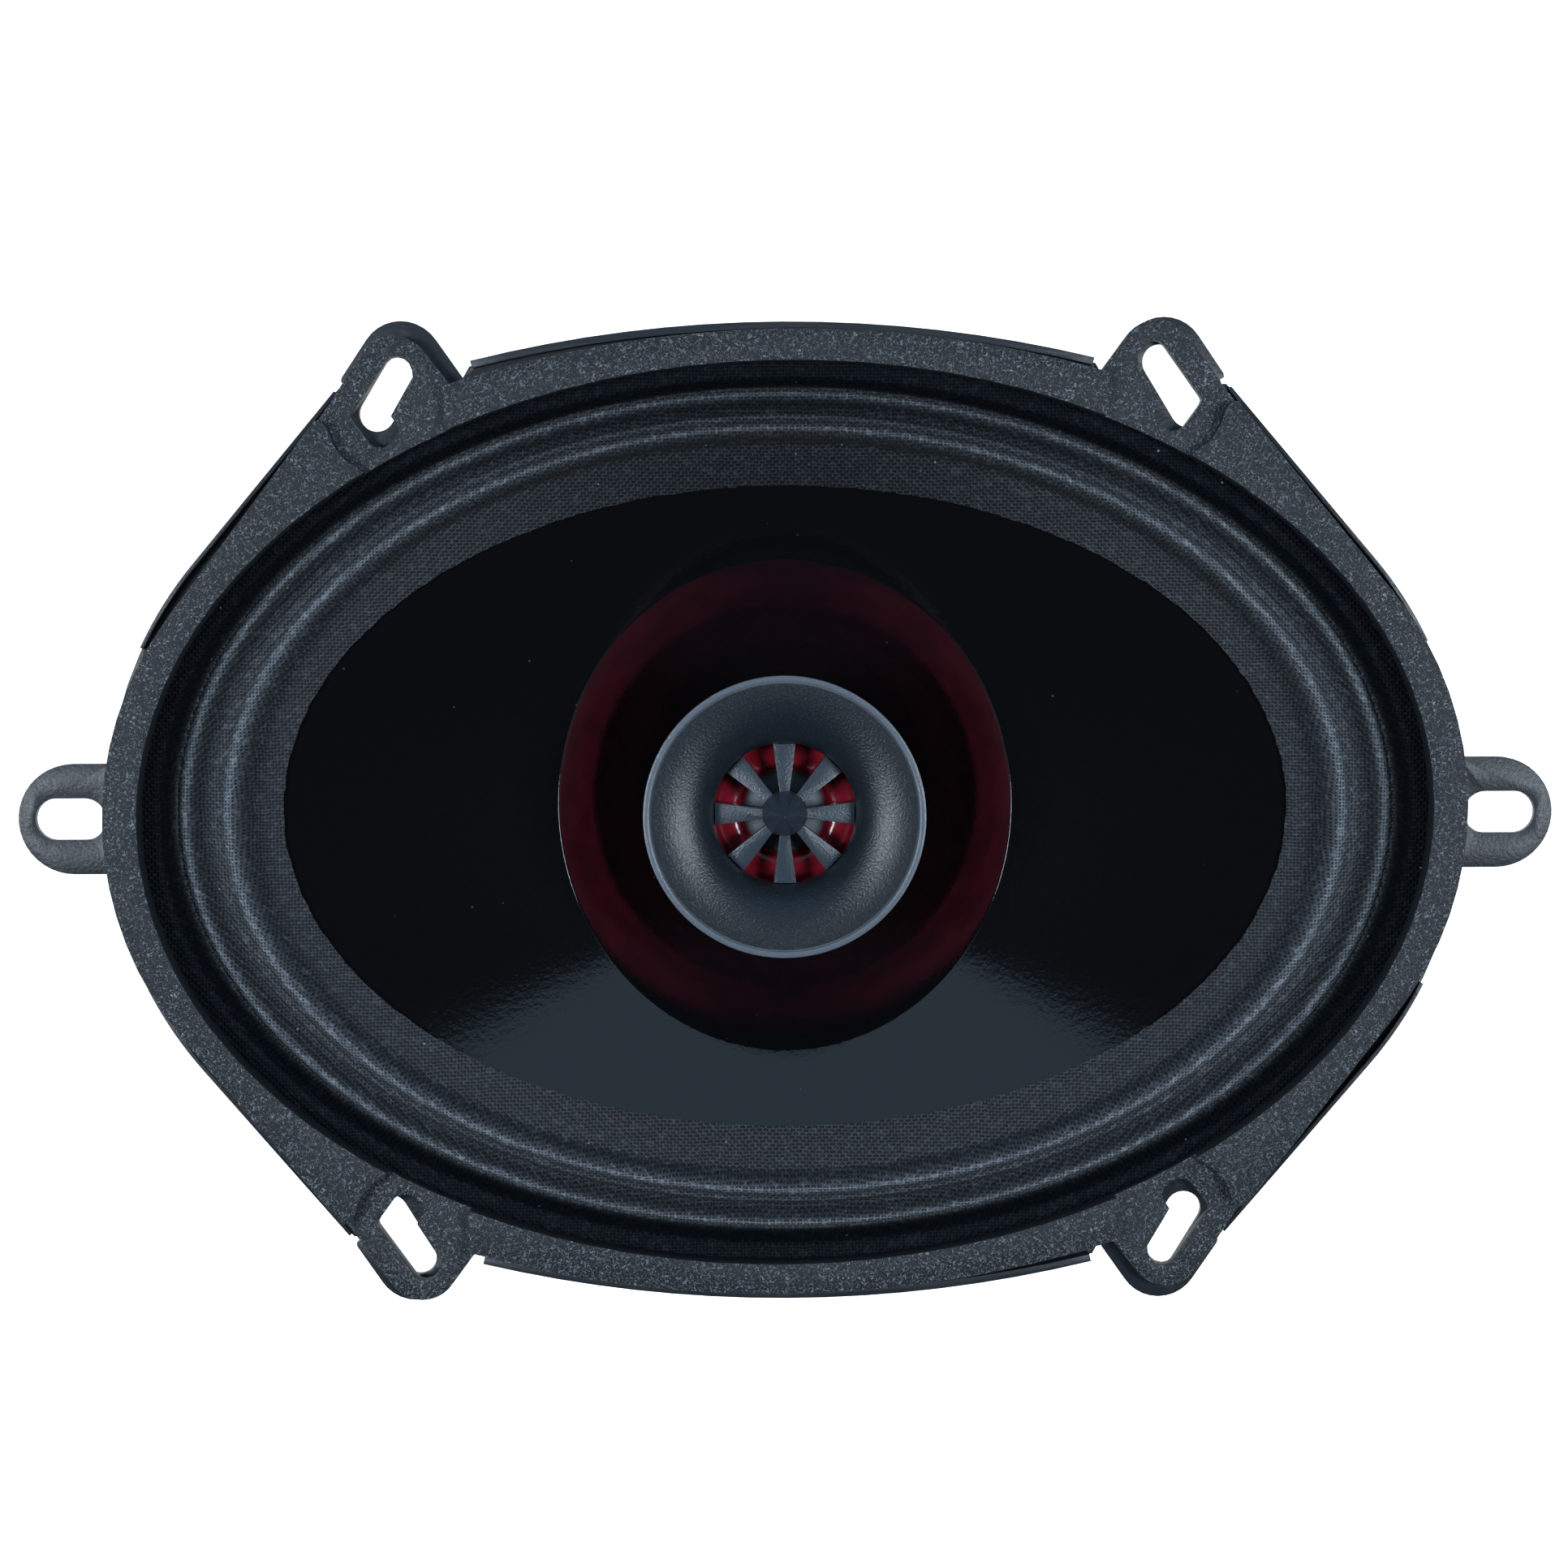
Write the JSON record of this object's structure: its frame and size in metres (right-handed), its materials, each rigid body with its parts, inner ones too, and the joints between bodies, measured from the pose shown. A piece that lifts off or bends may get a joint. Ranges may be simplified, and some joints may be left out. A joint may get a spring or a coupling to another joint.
{
  "type": "coaxial car speaker",
  "caption": "Oval coaxial car speaker: gloss black woofer cone in a cloth surround, a horn tweeter on a centre post, black steel basket with slotted ears",
  "frame": {"origin": "Centre of the two end slots, on the rear face of the mounting flange", "axes": "X runs along the long axis through the two end slots, Y across, Z forward out of the cone, the way the speaker fires"},
  "size_m": [0.2352, 0.1508, 0.0786],
  "materials": {
    "steel_black": "satin black paint with a fine orange peel",
    "moulding": "moulded with a worm grain on the face, smooth inside wall",
    "cloth": "coated polyester cloth with a fine plain weave",
    "cone_gloss": "gloss black film with a fine hammered texture",
    "former_paper": "wound kraft paper tube",
    "copper": "enamelled copper wire, gloss",
    "spider_cloth": "resin dipped woven cotton",
    "zinc_steel": "bright zinc plate",
    "ferrite": "ground ferrite, matt",
    "neodymium": "nickel plate",
    "red_plastic": "gloss moulded",
    "red_film": "gloss tinted film",
    "dome_cloth": "fine doped cloth",
    "horn_satin": "fine satin powder texture",
    "fibre_board": "pressed fibre board",
    "tinned_steel": "bright tin plate",
    "brass_rivet": "plain tubular rivet",
    "capacitor_sleeve": "heat shrunk sleeve",
    "braid": "fine copper braid",
    "red_sleeve": "wire insulation",
    "black_sleeve": "wire insulation"
  },
  "bodies": {
    "frame": {"basket": "steel_black", "trim_ring": "moulding", "top_plate": "zinc_steel", "magnet": "ferrite", "back_yoke": "zinc_steel", "basket_rivets": "zinc_steel", "tweeter_post": "zinc_steel", "post_washer": "zinc_steel", "post_nut": "zinc_steel", "tweeter_housing": "red_plastic", "tweeter_yoke": "zinc_steel", "tweeter_magnet": "neodymium", "tweeter_top_plate": "zinc_steel", "horn": "horn_satin", "phase_plug": "horn_satin", "terminal_board": "fibre_board", "terminal_tab_positive": "tinned_steel", "terminal_tab_negative": "tinned_steel", "terminal_rivets": "brass_rivet", "crossover_capacitor": "capacitor_sleeve", "tweeter_lead_positive": "red_sleeve", "tweeter_lead_negative": "black_sleeve"},
    "moving_cone": {"surround": "cloth", "cone": "cone_gloss", "voice_coil_former": "former_paper", "voice_coil_winding": "copper", "spider": "spider_cloth", "tinsel_lead_positive": "braid", "tinsel_lead_negative": "braid"},
    "tweeter_moving": {"tweeter_diaphragm": "red_film", "tweeter_dome": "dome_cloth", "tweeter_voice_coil": "copper"}
  },
  "joints": [
    {"name": "cone_travel", "type": "slide", "parent": "frame", "child": "moving_cone", "axis": [0, 0, 1], "range_m": [-0.004, 0.004], "stiffness_N_per_m": 2200, "deforming": ["surround", "spider", "tinsel_lead_positive", "tinsel_lead_negative"]},
    {"name": "tweeter_travel", "type": "slide", "parent": "frame", "child": "tweeter_moving", "axis": [0, 0, 1], "range_m": [-0.0003, 0.0003], "stiffness_N_per_m": 60}
  ]
}
